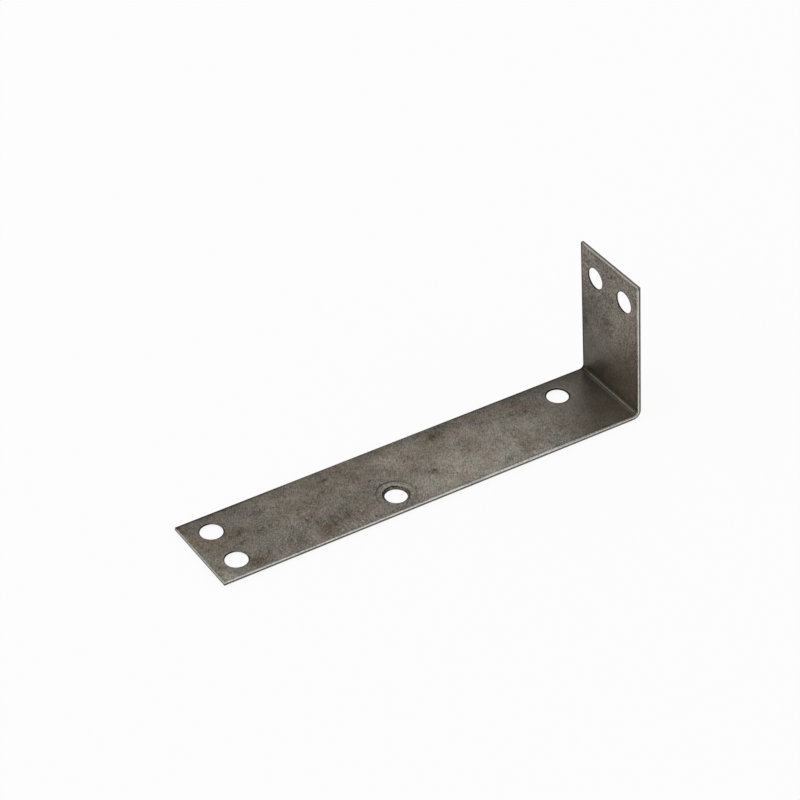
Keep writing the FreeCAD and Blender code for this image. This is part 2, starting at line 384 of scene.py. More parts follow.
class Strip:
    """The grid that covers the strip: stations along it, and lines that pass around holes."""

    margin = 1 * MM
    step = 0.7 * MM
    fold_cells = 24
    edge_cells = 2
    gap_cells = 6
    wall_cells = 7

    def __init__(self, sheet, holes):
        self.sheet = sheet
        self.columns = self.group(holes)
        self.zone = np.concatenate([
            np.linspace(0, sheet.sizes.edge_roll, ROLL_CELLS + 1),
            sheet.sizes.edge_roll + np.array([0.1, 0.35]) * MM,
            [self.margin],
        ])
        self.zone_cells = len(self.zone) - 1
        self.stations, self.column_starts = self.lay_stations()
        self.lines, self.band_starts = self.lay_lines()

    @staticmethod
    def group(holes):
        """Holes at the same station share a column, and the columns go from the top down."""
        columns = {}
        for hole in holes:
            columns.setdefault(round(hole.reach / MM, 1), []).append(hole)
        return [columns[key] for key in sorted(columns)]

    def lay_stations(self):
        """Stations from the short leg's top to the free end, close together at edges and fold."""
        sheet = self.sheet
        knots = [sheet.top_end + self.margin]
        cells = []
        starts = []

        def stretch(end, count=None):
            length = end - knots[-1]
            cells.append(count or max(1, round(length / self.step)))
            knots.append(end)

        for column in self.columns:
            centre, square = column[0].reach, column[0].square
            if knots[-1] < sheet.fold_end < centre:
                stretch(sheet.fold_end)
                stretch(sheet.tangent, self.fold_cells)
            stretch(centre - square)
            starts.append(self.zone_cells + sum(cells))
            stretch(centre + square, SQUARE_CELLS)
        stretch(sheet.free_end - self.margin)
        middle = graded(knots, cells)
        return np.concatenate([
            sheet.top_end + self.zone[:-1], middle, sheet.free_end - self.zone[-2::-1],
        ]), starts

    def lay_lines(self):
        """Across places of every line at every station.

        Each line keeps its share of the band between two knots, and the knots move in a straight
        line from one column of holes to the next.
        """
        half = self.sheet.half_width
        default = [next(h for h in self.columns[0] if h.across * sign > 0) for sign in (-1, 1)]
        reaches, knots = [], []
        for column in self.columns:
            edges = [-half + self.margin]
            for sign, usual in zip((-1, 1), default):
                hole = next((h for h in column if h.across * sign > 0), usual)
                edges += [hole.across - hole.square, hole.across + hole.square]
            edges.append(half - self.margin)
            for side in (-1, 1):
                reaches.append(column[0].reach + side * column[0].square)
                knots.append(edges)
        knots = np.array(knots)
        moving = stacked(*[np.interp(self.stations, reaches, knot) for knot in knots.T])
        cells = [self.edge_cells, SQUARE_CELLS, self.gap_cells, SQUARE_CELLS, self.edge_cells]
        bounds = np.arange(len(cells) + 1)
        shares = graded(bounds, cells)
        weights = np.stack([np.interp(shares, bounds, row) for row in np.eye(len(bounds))])
        zone = np.broadcast_to(self.zone[:-1], (len(self.stations), self.zone_cells))
        first = self.zone_cells + self.edge_cells
        lines = np.concatenate([-half + zone, moving @ weights, half - zone[:, ::-1]], axis=1)
        return lines, [first, first + SQUARE_CELLS + self.gap_cells]

    def open_cells(self):
        """Which cells of a skin stay, once the square of each hole is taken out."""
        rows, lines = self.lines.shape
        stays = np.ones((rows - 1, lines - 1), bool)
        for start, column in zip(self.column_starts, self.columns):
            for hole in column:
                first = self.band_starts[int(hole.across > 0)]
                stays[start:start + SQUARE_CELLS, first:first + SQUARE_CELLS] = False
        return stays

    def grids(self):
        """The box around the strip as six grids of sheet coordinates, each with its open cells."""
        thickness = self.sheet.thickness
        roll = self.sheet.sizes.edge_roll
        levels = np.concatenate([
            np.linspace(0, thickness - roll, self.wall_cells + 1),
            np.linspace(thickness - roll, thickness, ROLL_CELLS + 1)[1:],
        ])
        reach = np.broadcast_to(self.stations[:, None], self.lines.shape)
        stays = self.open_cells()
        for up in (thickness, 0):
            yield stacked(reach, self.lines, np.full(reach.shape, up)), stays
        for side in (0, -1):
            across, up = np.meshgrid(self.lines[:, side], levels, indexing="ij")
            reach_wall = np.broadcast_to(self.stations[:, None], across.shape)
            yield stacked(reach_wall, across, up), None
            across, up = np.meshgrid(self.lines[side], levels, indexing="ij")
            yield stacked(np.full(across.shape, self.stations[side]), across, up), None


def quads(shape, first, wrapped=False, stays=None):
    """Vertex numbers of a grid's cells, in rows of four."""
    index = first + np.arange(shape[0] * shape[1]).reshape(shape)
    if wrapped:
        index = np.concatenate([index, index[:, :1]], axis=1)
    cells = stacked(index[:-1, :-1], index[1:, :-1], index[1:, 1:], index[:-1, 1:])
    return cells[stays] if stays is not None else cells.reshape(-1, 4)


def roll_edges(sheet, points):
    """The sharp box drawn in to rolled edges around its inner face.

    Inside the roll's reach of an edge, the three distances a, b, c run from 0 to 1. Each becomes
    a sqrt(1 - b^2/2 - c^2/2 + b^2 c^2/3), the formula that carries a cube onto a ball.
    """
    roll = sheet.sizes.edge_roll
    reach, across, up = points.T
    ends = np.array([sheet.top_end + roll, sheet.free_end - roll])
    middle = np.clip(reach, *ends)
    a = (reach - middle) / roll
    inner = np.clip(across, -sheet.half_width + roll, sheet.half_width - roll)
    b = (across - inner) / roll
    low = np.minimum(up, sheet.thickness - roll)
    c = (up - low) / roll

    def drawn(own, first, second):
        first, second = first**2, second**2
        return own * np.sqrt(1 - first / 2 - second / 2 + first * second / 3)

    return stacked(
        middle + roll * drawn(a, b, c), inner + roll * drawn(b, a, c), low + roll * drawn(c, a, b),
    )


def tear_edges(sheet, points):
    """The lower part of the cut outline sloped in by the tear, fading over a millimetre of face."""
    reach, across, up = points.T
    torn, fade = 0.45 * sheet.thickness, 1 * MM
    depth = sheet.sizes.tear * ease(-up, -torn, 0)

    def pull(place, low, high):
        near_high = ease(place, high - fade, high)
        near_low = ease(-place, -low - fade, -low)
        return place - depth * near_high + depth * near_low

    return stacked(
        pull(reach, sheet.top_end, sheet.free_end),
        pull(across, -sheet.half_width, sheet.half_width), up,
    )


def wear_corner(sheet, points):
    """The short leg's near corner rounded on the inner face, and sharp towards the outer one.

    In the corner's square, with sides of 1, (u, v) becomes (u sqrt(1 - v^2/2), v sqrt(1 - u^2/2)),
    the formula that carries a square onto a disc. The square grows from the outer face up.
    """
    reach, across, up = points.T
    size = sheet.sizes.worn_corner * ease(up, 0.2 * sheet.thickness, 0.95 * sheet.thickness) + 1e-9
    u = np.clip((sheet.top_end + size - reach) / size, 0, 1)
    v = np.clip((across - sheet.half_width + size) / size, 0, 1)
    return stacked(
        reach + size * u * (1 - np.sqrt(1 - v**2 / 2)),
        across - size * v * (1 - np.sqrt(1 - u**2 / 2)), up,
    )


def squeeze_fold(sheet, points):
    """The strip's edges drawn in on the outside of the fold, where the metal is stretched."""
    reach, across, up = points.T
    middle = (sheet.tangent + sheet.fold_end) / 2
    span = sheet.tangent - sheet.fold_end
    at_fold = 1 - ease(np.abs(reach - middle), 0.2 * span, 0.9 * span)
    at_edge = ease(np.abs(across), sheet.half_width - 2.5 * MM, sheet.half_width)
    outside = 1 - up / sheet.thickness
    drawn = sheet.sizes.fold_squeeze * at_fold * at_edge * outside
    return stacked(reach, across - np.sign(across) * drawn, up)


def cut_places(sheet, holes, points):
    """How far each place is from the cuts, and on which side of the nearest hole it lies.

    The distances run along the face, in metres: to the strip's outline, to the nearest punched
    hole and to the axis of the seat, which is the last of the holes. The first two are nothing
    where the rounding of the cut starts, and fall below that on the rounding and on the cut's
    wall. The side is a unit vector away from the hole's centre. Both come in rows of three.
    """
    reach, across, _ = points.T
    outline = np.minimum.reduce([
        reach - sheet.top_end, sheet.free_end - reach, sheet.half_width - np.abs(across),
    ])
    away = np.array([(reach - hole.reach, across - hole.across) for hole in holes])
    distance = np.hypot(away[:, 0], away[:, 1])
    punched = [own - hole.rim for own, hole in zip(distance, holes[:-1])]
    rims = stacked(outline - sheet.sizes.edge_roll, np.minimum.reduce(punched), distance[-1])

    nearest = away[distance.argmin(axis=0), :, np.arange(len(points))]
    side = nearest / np.maximum(distance.min(axis=0), 1e-9)[:, None]
    return rims, np.pad(side, ((0, 0), (0, 1)))


class Mark(NamedTuple):
    """A soft-edged patch on the sheet: its middle and size, how strong it is and its turn.

    Lengths are in millimetres, and the turn in degrees, from the strip's length towards +Y.
    """

    reach: float
    across: float
    length: float
    width: float
    strength: float = 1
    turn: float = 0


def marks(*rows):
    """A list of marks, each from a row of numbers in the order of its fields."""
    return [Mark(*row) for row in rows]


# Patches of old grease, which darken the steel.
GREASE = marks(
    (135.6, -3.2, 3.2, 1.9, 0.3, 10), (136.5, 11.8, 3.6, 1.6, 0.34, 12),
    (100.9, -10.3, 2.2, 1.3, 0.3, 20), (112.5, 10.6, 3.8, 3, 0.26, 35),
    (120.5, 10.5, 1.8, 2.4, 0.22), (131.5, 9.5, 1, 2.4, 0.24, -35), (61, -10, 3.4, 2.6, 0.42, 20),
    (65.5, -9.5, 2.6, 1.6, 0.18), (56, -13, 4, 1.6, 0.2), (70, 4, 2, 1.4, 0.34, 30),
    (74, 1, 1.6, 2.6, 0.28), (30, -11, 3.4, 2.2, 0.16), (28.5, -6.5, 5.5, 3.6, 0.14),
    (106.5, -9.5, 4.5, 3, 0.2), (93, -7, 2.4, 4.6, 0.22, 30), (125, -7.5, 2, 1.2, 0.26),
    (149.2, -12.6, 1.8, 2.4, 0.35), (147, -10, 2.5, 3, 0.2), (103, 8, 3, 4, 0.24),
    (108, 7, 2.4, 4.4, 0.2), (38, 8, 3, 2.5, 0.12), (94, 3, 3, 3, 0.14),
)

# Small dark spots and short lines with a crisp edge.
SPOTS = marks(
    (89.3, -2.5, 0.6, 0.5, 0.8), (129.3, -0.3, 0.45, 0.4, 0.7), (96.3, 12.8, 0.65, 0.5, 0.8),
    (91, 13.7, 0.5, 0.45, 0.7), (85.3, 12.1, 0.55, 0.45, 0.7), (29.8, -5.8, 1, 0.9, 0.6, 20),
    (120.5, -7.3, 0.45, 0.4, 0.6), (104.2, -5.6, 0.9, 0.8, 0.5), (100.8, -10.3, 1.2, 0.6, 0.5, 15),
    (73, 12.2, 0.4, 0.4, 0.6), (17, 5, 0.7, 0.6, 0.4), (23.5, 6.7, 0.5, 0.4, 0.4),
    (16.5, 8.5, 0.5, 0.4, 0.35), (108.5, 9.5, 0.35, 1.6, 0.6), (103.2, 7.5, 0.3, 1.8, 0.4),
    (134.6, -2, 2.6, 0.35, 0.45, 2), (137, 1.7, 3.2, 0.3, 0.4), (126.8, 2.1, 3.6, 0.3, 0.4, -3),
    (61.4, -10.4, 1.3, 0.7, 0.35, 30), (113, 6.4, 0.8, 0.6, 0.4, 40),
)

# Patches where the steel is rubbed brighter.
RUBBED = marks(
    (78.5, -8, 4.5, 5.5, 2.2), (118.5, 1, 6.5, 1.1, 0.9, 45), (113, -5.5, 3, 2.5, 0.7, 50),
    (84.5, -1, 0.8, 3.4, 0.9, -20), (125, 8.5, 5, 2.5, 0.5, 20), (146, 7, 3, 4, 0.7),
    (60, 5.5, 9, 5, 0.9), (69, 9.5, 4.5, 2.6, 0.9), (45.5, -4, 5, 4, 0.8),
    (51, 2.2, 2.4, 1, 0.8, 60), (112, -1, 3, 2.5, 0.5), (33, 12, 8, 3, 0.6),
    (99, 0, 2.5, 2.5, 0.3), (86, -6.5, 1, 3, 0.6, -35), (115.5, 0.5, 3.5, 3, 0.9),
    (73.5, -11.5, 5, 3, 1.6), (147.5, 13.5, 2, 1.6, 1.5),
)

# Stains of rust.
RUSTY = marks(
    (142.2, -0.3, 0.9, 2.6, 0.55, -6), (144.5, -3.6, 2.6, 2, 0.3, -40),
    (135.6, -3, 3.6, 2.2, 0.3, 10), (136.5, 12, 4.6, 2.2, 0.3, 12), (112.5, 10.6, 4, 3, 0.24),
    (148, -5, 1.8, 4, 0.34), (65, -9, 4, 2, 0.2), (30, -9, 3, 3, 0.2), (90.5, -4, 3, 3.4, 0.22),
    (104.2, -5.6, 1.8, 2, 0.3),
)

# The same on the short leg, with the height above the heel in place of the reach.
SHORT_GREASE = marks(
    (21.5, -13.2, 4, 1.6, 0.5), (28, -1.8, 2.2, 2, 0.42, 30), (34.3, -6, 1.2, 1, 0.34),
    (34, -0.8, 1.1, 0.9, 0.4), (31.3, -4.2, 0.9, 0.8, 0.3), (25, -2.5, 3.4, 3, 0.24, 30),
    (44.5, 13.2, 1.6, 1.4, 0.35), (17, -9, 2.4, 1.2, 0.2, 50), (30.5, -7.5, 1.4, 1, 0.3),
    (24, 0.5, 1.6, 1.2, 0.24, 50),
)
SHORT_RUBBED = marks(
    (33, 4, 5, 5, 0.5, -35), (19.5, -6.5, 3, 5, 0.5, 50), (35.5, -10.5, 2, 1.6, 0.6, 40),
    (42, 0, 3, 2.5, 0.3), (38.5, 0, 3, 3, 1), (32.5, -12.5, 3, 2, 1.2), (18, 12, 3, 2.5, 1.5),
)


def patches(group, reach, across):
    """All the soft patches of one kind together, at places on the sheet.

    A place is turned and scaled into each mark's own frame, where the mark is a disc of radius 1,
    and gets its strength, eased out from 0.3 to 1.3 of that radius.
    """
    total = np.zeros_like(reach)
    for mark in group:
        turn = math.radians(mark.turn)
        along, aside = reach - mark.reach, across - mark.across
        u = (along * math.cos(turn) + aside * math.sin(turn)) / mark.length
        v = (aside * math.cos(turn) - along * math.sin(turn)) / mark.width
        total += mark.strength * (1 - ease(np.hypot(u, v), 0.3, 1.3))
    return total


def handling(sheet, points):
    """How greasy, rubbed and rusty each place is, in rows of three.

    The outlines of the patches are ruffled by three sine waves each way. The outer face has the
    same patches, mirrored and moved along, because nothing is known of it.
    """
    reach, across, up = points.T / MM
    outer = up < sheet.thickness / MM / 2
    across = np.where(outer, -across, across)
    reach = reach + OUTER_SHIFT_MM * outer
    moved = [
        sum(size * np.sin(a * reach + b * across + a - b) for size, a, b in waves)
        for waves in (
            ((0.45, 1.3, 2.1), (0.3, -3.1, 1.7), (0.16, 4.7, 5.3)),
            ((0.45, 1.9, -1.1), (0.3, 2.3, 3.3), (0.16, -5.9, 4.1)),
        )
    ]
    reach, across = reach + moved[0], across + moved[1]
    foot = sheet.reach_up(0) / MM
    kinds = ((GREASE, SHORT_GREASE), (RUBBED, SHORT_RUBBED), (RUSTY, ()))
    return stacked(*[
        patches(long_leg, reach, across) * (reach > foot) + patches(short_leg, foot - reach, across)
        for long_leg, short_leg in kinds
    ])


def bracket_mesh(sheet, holes):
    """The whole folded sheet as one closed mesh, with its sheet coordinates kept as attributes."""
    points, faces, count = [], [], 0
    grids = [(grid, False, stays) for grid, stays in Strip(sheet, holes).grids()]
    grids += [(hole_grid(hole), True, None) for hole in holes]
    for grid, wrapped, stays in grids:
        points.append(grid.reshape(-1, 3))
        faces.append(quads(grid.shape[:2], count, wrapped, stays))
        count += len(points[-1])
    flat = np.concatenate(points)
    faces = np.concatenate(faces)

    shaped = flat
    for shape in (roll_edges, tear_edges, wear_corner, squeeze_fold):
        shaped = shape(sheet, shaped)
    mesh = bpy.data.meshes.new("bracket_sheet")
    mesh.from_pydata(sheet.fold(shaped), [], faces)
    rims, sides = cut_places(sheet, holes, flat)
    for name, vectors in (
        ("sheet_mm", shaped / MM), ("rims_mm", rims / MM), ("hole_side", sides),
        ("handling", handling(sheet, flat)),
    ):
        attribute = mesh.attributes.new(name, "FLOAT_VECTOR", "POINT")
        attribute.data.foreach_set("vector", vectors.astype(np.float32).ravel())

    cleaned = bmesh.new()
    cleaned.from_mesh(mesh)
    loose = [vertex for vertex in cleaned.verts if not vertex.link_faces]
    bmesh.ops.delete(cleaned, geom=loose, context="VERTS")
    bmesh.ops.remove_doubles(cleaned, verts=cleaned.verts, dist=MERGE_DISTANCE)
    bmesh.ops.recalc_face_normals(cleaned, faces=cleaned.faces)
    cleaned.to_mesh(mesh)
    cleaned.free()
    mesh.shade_smooth()
    mesh.set_sharp_from_angle(angle=SHARP_ANGLE)
    return mesh


class Value:
    """A shader socket that takes part in arithmetic: each operation adds a Math node."""

    def __init__(self, shader, socket):
        self.shader = shader
        self.socket = socket

    def math(self, operation, *others):
        """An operation of the Math node on this value and others."""
        return self.shader.node("Math", {"operation": operation}, dict(enumerate((self, *others))))

    def __add__(self, other):
        return self.math("ADD", other)

    def __sub__(self, other):
        return self.math("SUBTRACT", other)

    def __rsub__(self, other):
        return self.shader.node("Math", {"operation": "SUBTRACT"}, {0: other, 1: self})

    def __mul__(self, other):
        return self.math("MULTIPLY", other)

    __radd__ = __add__
    __rmul__ = __mul__

    def __abs__(self):
        return self.math("ABSOLUTE")

    def ramp(self, start, end):
        """0 up to start and 1 past end, smoothly. An end below start turns this round."""
        flip = end < start
        sockets = {"Value": self, "From Min": min(start, end), "From Max": max(start, end),
                   "To Min": float(flip), "To Max": float(not flip)}
        return self.shader.node("MapRange", {"interpolation_type": "SMOOTHSTEP"}, sockets)

    def band(self, middle, half, soft):
        """1 within half of a middle value, and 0 past a soft margin around that."""
        return abs(self - middle).ramp(half + soft, half)

    def other(self, key):
        """Another output of the same node."""
        return Value(self.shader, Shader.socket(self.socket.node.outputs, key))


class Shader:
    """The nodes of a material or world."""

    def __init__(self, owner):
        owner.use_nodes = True
        self.tree = owner.node_tree
        self.tree.nodes.clear()

    @staticmethod
    def socket(sockets, key):
        """One of a node's sockets, by number, name or identifier."""
        if isinstance(key, int):
            return sockets[key]
        return next(socket for socket in sockets if key in (socket.identifier, socket.name))

    def node(self, kind, settings=None, sockets=None, output=0):
        """A new node of a kind, its settings made first and its sockets set or linked after.

        The socket named by output is given back. A colour is given as three numbers.
        """
        made = self.tree.nodes.new(f"ShaderNode{kind}")
        for name, value in (settings or {}).items():
            setattr(made, name, value)
        for key, value in (sockets or {}).items():
            socket = self.socket(made.inputs, key)
            if isinstance(value, Value):
                self.tree.links.new(value.socket, socket)
            else:
                socket.default_value = (*value, 1) if socket.type == "RGBA" else value
        return Value(self, self.socket(made.outputs, output)) if made.outputs else made

    def backdrop(self):
        """1 where a surface is seen directly, in a reflection or through something clear."""
        rays = [self.node("LightPath", output=f"Is {kind} Ray")
                for kind in ("Camera", "Glossy", "Transmission")]
        return rays[0].math("MAXIMUM", rays[1]).math("MAXIMUM", rays[2])


def new_object(name, data):
    """An object for some data, linked to the scene at the origin."""
    made = bpy.data.objects.new(name, data)
    bpy.context.scene.collection.objects.link(made)
    return made


class Steel(Shader):
    """The patterns of the raw steel, laid out on the strip in millimetres."""

    def __init__(self, material, sheet, seat, finish):
        super().__init__(material)
        self.finish = finish
        self.place = self.attribute("sheet_mm")
        self.reach, self.across, self.up = self.parts(self.place)
        self.outline, self.punched, self.axis = self.parts(self.attribute("rims_mm"))
        self.side_along, self.side_aside, _ = self.parts(self.attribute("hole_side"))
        self.greasy, self.rubbed, self.rusty = self.parts(self.attribute("handling"))
        self.seat_ring, self.seat_mouth, self.seat_radius = (
            size / MM for size in (seat.ring, seat.mouth, seat.radius)
        )
        self.height = sheet.reach_up(0) / MM - self.reach
        self.from_fold = self.reach - (sheet.fold_end + sheet.tangent) / 2 / MM
        self.ragged = self.cloud(0.9, 2, seed=13) * 0.12

        # Where a place is, each from 0 to 1: on the short leg, on the inner face, at the far edge,
        # at the free end and at the short leg's top.
        sizes = (sheet.half_width, sheet.free_end, sheet.top_height)
        half, end, top = (size / MM for size in sizes)
        self.short = self.from_fold.ramp(1, -1)
        self.inner = self.up.ramp(0.3, 0.6)
        self.far = self.across.ramp(2 - half, 0.8 - half)
        self.free_end = self.reach.ramp(end - 1.6, end - 0.6)
        self.top = self.height.ramp(top - 1.7, top - 0.7)

        # The wall of a plain hole, made near white as a painted reflection, and the rounding where
        # the far edge turns out of sight, which gets painted shade.
        self.gleam = self.punched.ramp(-0.12, -0.2) * self.up.ramp(0.8, 0.7)
        low = self.from_fold.band(-8, 12, 8)
        self.rounded = (self.outline - low * 0.25).ramp(0.2, 0.02) * self.far

    def attribute(self, name):
        """One of the attributes that the mesh carries, as a vector."""
        return self.node("Attribute", {"attribute_name": name}, output="Vector")

    def parts(self, vector):
        """The three numbers of a vector."""
        first = self.node("SeparateXYZ", sockets={"Vector": vector})
        return first, first.other("Y"), first.other("Z")

    def towards(self, along, aside):
        """How far a place lies to one side of its hole: 1 straight to that side, -1 opposite."""
        return self.side_along * along + self.side_aside * aside

    def scaled(self, vector, factor):
        """A vector or colour times a factor."""
        settings = {"operation": "SCALE"}
        return self.node("VectorMath", settings, {"Vector": vector, "Scale": factor})

    def mix(self, factor, first, second, blend="MIX"):
        """One colour over another, or blended with it in another way."""
        settings = {"data_type": "RGBA", "blend_type": blend}
        sockets = {"Factor_Float": factor, "A_Color": first, "B_Color": second}
        return self.node("Mix", settings, sockets, "Result_Color")

    def dulled(self, factor, colour, share):
        """A colour of which a film lets through only a share, where the factor is 1 or more."""
        return self.mix(factor.math("MINIMUM", 1), colour, share, "MULTIPLY")

    def cloud(self, size, detail=1, place=None, seed=0):
        """Noise of one size in millimetres, mostly between -1 and 1."""
        sockets = {"Vector": place or self.place, "W": seed, "Scale": 1 / size, "Detail": detail}
        return (self.node("TexNoise", {"noise_dimensions": "4D"}, sockets, "Fac") - 0.5) * 4

    def patch(self, mark, place):
        """The place as seen from a mark: 1 long to its edge, whichever way it is turned."""
        return self.node("Mapping", {"vector_type": "TEXTURE"}, {
            "Vector": place, "Location": (mark.reach, mark.across, 0),
            "Rotation": (0, 0, math.radians(mark.turn)), "Scale": (mark.length, mark.width, 10),
        })

    def spots(self, group, place):
        """All the small spots together, each with a crisp edge."""
        total = 0
        for mark in group:
            sockets = {"Vector": self.patch(mark, place)}
            away = self.node("VectorMath", {"operation": "LENGTH"}, sockets, "Value")
            total = away.ramp(1.2, 0.5) * mark.strength + total
        return total

    def streaks(self, length, width, turn, seed):
        """Noise drawn out along one direction."""
        drawn = self.patch(Mark(0, 0, length, width, turn=turn), self.place)
        return self.cloud(1, place=drawn, seed=seed)

    def wobble(self, size, reach):
        """Places moved by up to about reach millimetres, which ruffles the outline of a mark."""
        sockets = {"Vector": self.place, "Scale": 1 / size, "Detail": 2}
        noise = self.node("TexNoise", sockets=sockets, output="Color")
        centred = self.node("VectorMath", {"operation": "SUBTRACT"}, {0: noise, 1: (0.5, 0.5, 0.5)})
        moved = self.scaled(centred, reach * 4)
        return self.node("VectorMath", {"operation": "ADD"}, {0: self.place, 1: moved})

    def mottling(self):
        """Brightness of the faces around 1, with about as much of it at every scale."""
        grain = self.cloud(0.38, seed=1) * 11.5 + self.cloud(0.8, seed=2) * 4.5
        blotch = self.cloud(2.2, seed=3) * 3.6 + self.cloud(6, seed=4) * 4
        clouds = self.cloud(15, seed=5) * 2.2
        brushed = self.streaks(1.8, 0.3, 57, 6) * (1 - self.short) * 8.5
        brushed = self.streaks(1.5, 0.45, -37, 7) * self.short * 9 + brushed
        total = grain * (1 + self.short * 0.6) + blotch + clouds + brushed
        calm = abs(self.from_fold).ramp(26, 12) * 0.55
        return 1 + total * (1.08 - calm) * (0.075 * self.finish.mottling)

    def wear(self):
        """Painted light and shade: slow changes of brightness along each leg and across it, lighter
        and darker where the light falls unevenly on the sheet.
        """
        tilt = self.across * self.reach.ramp(95, 60) * 0.018
        middle = self.reach.band(57, 8, 26) * 0.22
        dark = self.reach.band(134, 4, 4) * 0.09 + self.across.ramp(-8, -14.5) * 0.2
        long_leg = 1 + tilt + middle - dark
        near = self.across.ramp(-6, 12) * self.height.ramp(47, 38) * 0.45
        far = self.across.ramp(3, -13) * self.height.band(20, 7, 9) * 0.36
        top = self.height.ramp(34, 47) * 0.24
        foot = self.across.ramp(-9, 4) * self.height.band(10, 3, 5) * 0.28
        short_leg = 1 + near - far + top + foot
        return long_leg + (short_leg - long_leg) * self.short

    def scratches(self):
        """Thin bright lines in patches, the peaks of drawn-out noise, and one brushed stretch."""
        patchy = self.cloud(14, seed=8).ramp(-0.1, 0.7)
        lengthwise = self.streaks(14, 0.16, 4, 9).ramp(1, 1.5)
        slanting = self.streaks(9, 0.14, 57, 10).ramp(1, 1.5)
        stretch = abs(self.reach - 104).ramp(9, 5) * self.across.ramp(1, 4)
        crosswise = self.streaks(0.3, 5, 0, 11) * stretch
        return (lengthwise * 0.6 + slanting) * patchy + crosswise * 1.5

    def specks(self):
        """Small dark dots, each at its own spot of a loose grid with cells of 1.7 mm."""
        cells = self.node("TexVoronoi", {"voronoi_dimensions": "3D"},
                          {"Vector": self.place, "Scale": 1 / 1.7, "Randomness": 1}, "Distance")
        chosen = self.parts(cells.other("Color"))[0].ramp(0.66, 0.74)
        return cells.ramp(0.24, 0.08) * chosen

    def faces(self):
        """Colour of the sheet's faces, with stains, grease and rubbed patches, and painted light
        and shade.
        """
        finish = self.finish
        hue = self.cloud(9, 2, seed=12) * 0.42 + 0.5 - self.across * 0.01 + self.short * 0.6
        colour = self.mix(hue.ramp(0, 1), finish.cool_grey, finish.warm_grey)
        tint = (self.cloud(1.1, seed=21) + self.cloud(5, seed=25)).ramp(-1.1, 1.1)
        tint = self.mix(tint, (1.035, 0.98, 1), (0.965, 1.02, 0.97))
        colour = self.mix(1, colour, tint, "MULTIPLY")
        torn = (self.cloud(0.7, 2, seed=20) * 0.8 + 1).math("MAXIMUM", 0)
        # The slow brightness changes multiplied in here are painted light and shade.
        light = self.mottling() * self.wear() * (1 + self.rubbed * torn * 0.13)
        light = light * (1 + self.scratches() * 0.3)
        colour = self.scaled(colour, light.math("MAXIMUM", 0.2))
        colour = self.dulled(self.rusty * torn, colour, finish.rust)
        grease = self.greasy * torn * 1.5 + self.specks() * 0.45
        grease = grease + self.spots(SPOTS, self.wobble(0.6, 0.12)) * self.inner
        # The fold and rim darkening in this sum is partly painted shade and partly grease.
        colour = self.dulled(grease + self.fold_grime() + self.rim_grime(), colour, finish.grime)
        colour = self.seat_marks(self.hole_marks(colour))
        # Painted highlight along the near edge's rounding, in the colour of burnished metal.
        colour = self.mix(self.burnish(), colour, finish.bright_cut)
        # Painted shade in the bottom of the fold.
        colour = self.dulled(self.seam(), colour, finish.grease)
        # Painted shade on the rounding where the far edge turns away, in the grease colour.
        return self.dulled(self.rounded, colour, finish.grease)

    def rim_grime(self):
        """Darkening along the cut outline, partly painted shade and partly grease: heavy on parts
        of the far edge, soft and wide on the far edge near the free end, and a thin line along the
        other edges.
        """
        bare = self.reach.band(84, 22, 14) * 0.85
        thick = (self.outline + self.ragged).ramp(0.75, 0.2) * self.far * (1 - bare)
        soft = self.outline.ramp(3, 0) * self.far * self.reach.ramp(118, 128) * 0.35
        thin = (self.outline + self.ragged).band(0.8, 0.1, 0.35) * (1 - self.far)
        return thick + soft + thin * self.reach.ramp(95, 80) * 0.3

    def sparkle(self, fine, broad, middle):
        """Brightness of bare metal around a middle, with fine points and broad stretches."""
        return self.cloud(0.5, 2, seed=22) * fine + self.cloud(5, seed=23) * broad + middle

    def burnish(self):
        """A painted highlight along the rounding where the shears bent the face's near edge over,
        in the colour of burnished metal; the far edge gets none.
        """
        inwards = self.reach.ramp(15, 110) * 0.33 + self.top * 0.2 - self.short * 0.05 - 0.15
        line = (self.outline + inwards + self.ragged * 0.6).ramp(0.4, 0.15)
        weight = (1 - self.far) * (1 - self.free_end * 0.5) * (1 - self.top * 0.55)
        return line * weight * self.sparkle(0.7, 0.25, 0.64).math("MINIMUM", 1) * self.inner

    def hole_marks(self, colour):
        """A dark ring in the rounding of every punched hole, partly painted shade and partly
        grease: on two opposite sides of the long leg's holes, around the short leg's holes and all
        round the fold hole. The plain holes' walls are made near white as a painted reflection, and
        an arc just outside the fold hole gets a painted highlight.
        """
        fold_hole = MOUNTS["fold_hole"]["pos_m"][0] / MM
        at_fold = self.reach.band(fold_hole, 6, 1.5) * self.across.ramp(-1, -3)
        lower = self.towards(-0.45, 0.9).ramp(-0.2, 0.8)
        edge = self.punched + self.ragged * 0.6 - at_fold * 0.07 - lower * 0.13
        rounding = self.up.ramp(0.62, 0.7) * edge.ramp(0.06, -0.04)
        # Painted shade on two opposite sides of each long-leg hole's rounding.
        painted_shade_crescent = abs(self.towards(0.5, -0.86)).ramp(0.5, 0.85)
        sideways = abs(self.towards(0.7, 0.7)).ramp(0.95, 0.6)
        all_round = self.short * (0.35 + sideways * 0.7) + at_fold * 0.95
        ring = rounding * (painted_shade_crescent * (1 - self.short) + all_round + 0.15)
        # Painted reflection: the plain holes' walls are made near white.
        colour = self.mix(self.gleam, colour, self.finish.gleam)
        colour = self.dulled(ring, colour, self.finish.grease)
        # A painted highlight in an arc just outside the fold hole.
        painted_halo = self.punched.band(0.62, 0.14, 0.3) * at_fold
        painted_halo = painted_halo * self.reach.ramp(18, 13) * self.across.ramp(-5, -9)
        return self.scaled(colour, 1 + painted_halo * 0.3)

